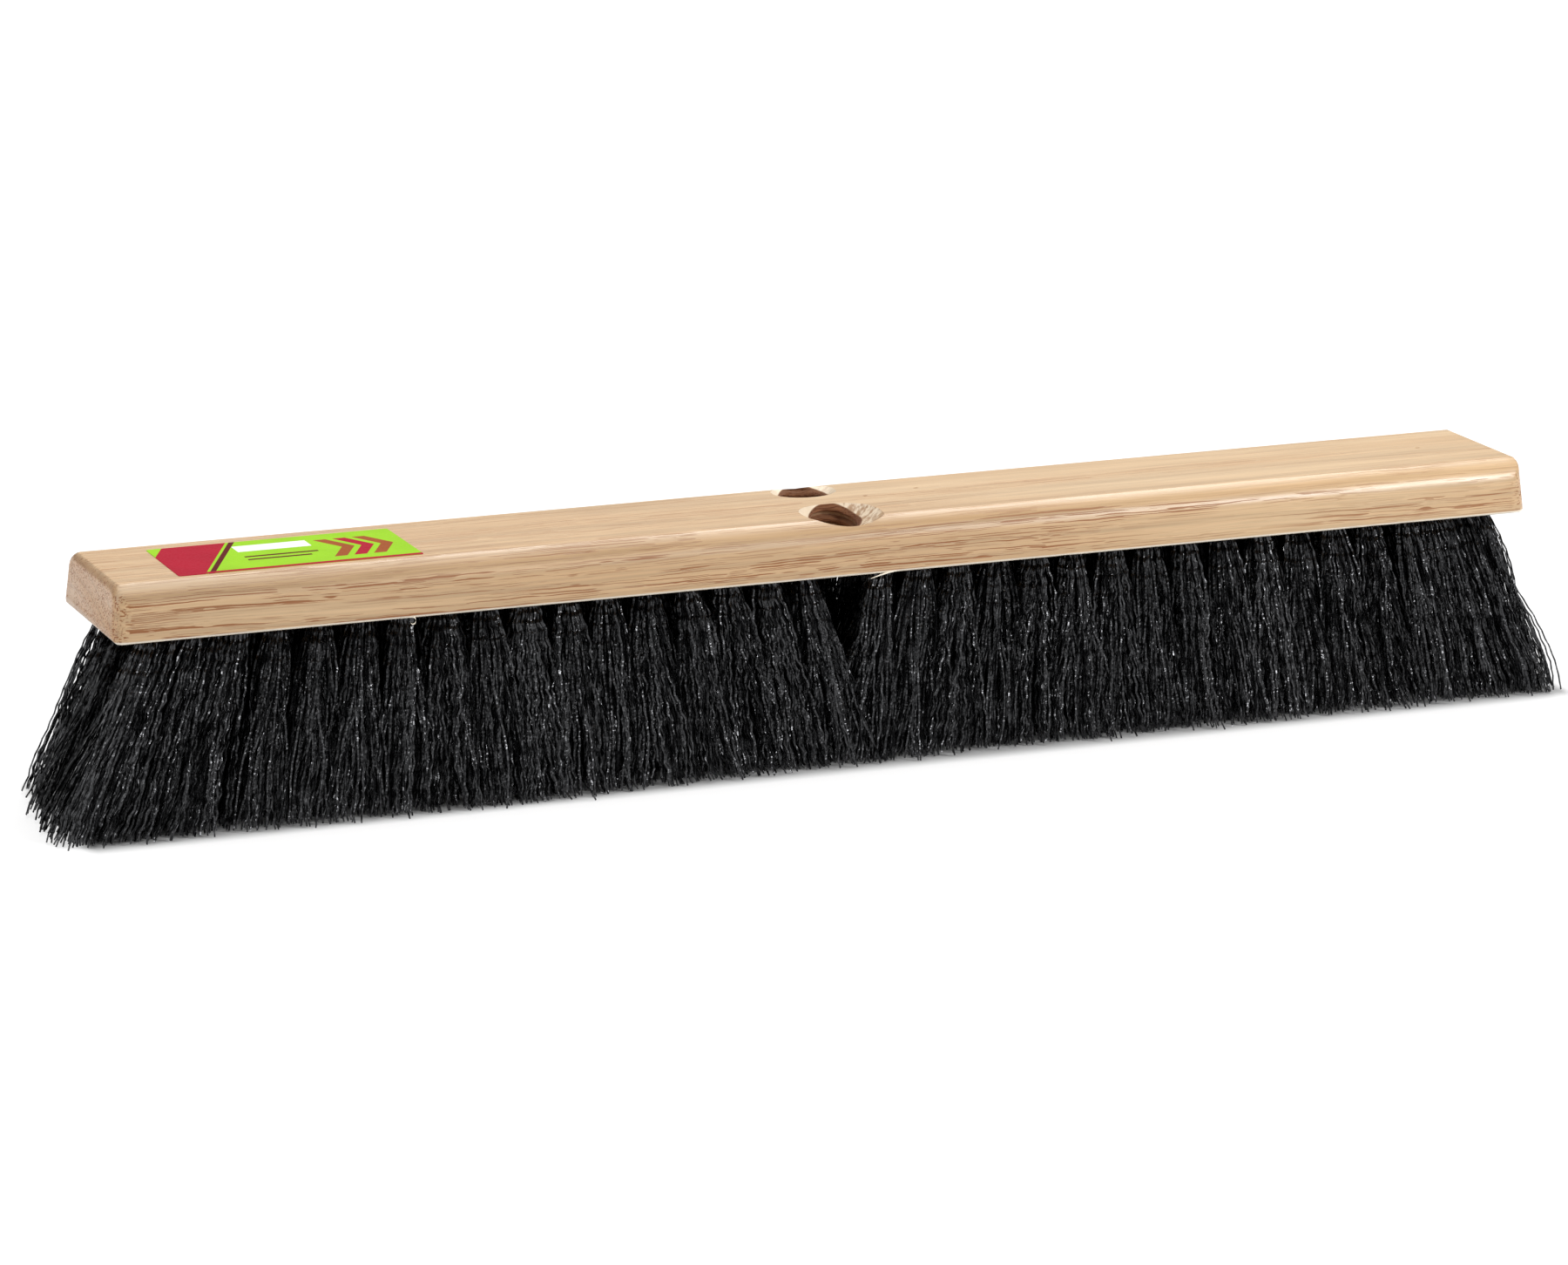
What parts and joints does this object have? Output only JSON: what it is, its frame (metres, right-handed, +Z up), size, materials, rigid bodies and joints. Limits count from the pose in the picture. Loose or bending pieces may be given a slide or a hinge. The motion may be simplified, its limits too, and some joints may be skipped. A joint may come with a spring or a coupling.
{
  "type": "push broom head",
  "caption": "Straight wooden push broom head with rounded edges, black bristle tufts that flare out below it and two leaning handle sockets in its top.",
  "frame": {"origin": "on the floor plane at the bristle tips, below the middle of the block", "axes": "+X along the block, +Y to the back, away from the larger socket, +Z up through the block's top"},
  "size_m": [0.6362, 0.0958, 0.0989],
  "materials": {
    "block_wood": "satin lacquer",
    "bristle": "crimped, slight sheen",
    "label_sheet": "printed, semi-gloss"
  },
  "bodies": {
    "root": {"block": "block_wood", "bristle_row_1_left": "bristle", "bristle_row_1_right": "bristle", "bristle_row_2_left": "bristle", "bristle_row_2_right": "bristle", "bristle_row_3_left": "bristle", "bristle_row_3_right": "bristle", "bristle_row_4_left": "bristle", "bristle_row_4_right": "bristle", "bristle_row_5_left": "bristle", "bristle_row_5_right": "bristle", "label": "label_sheet"}
  },
  "joints": []
}
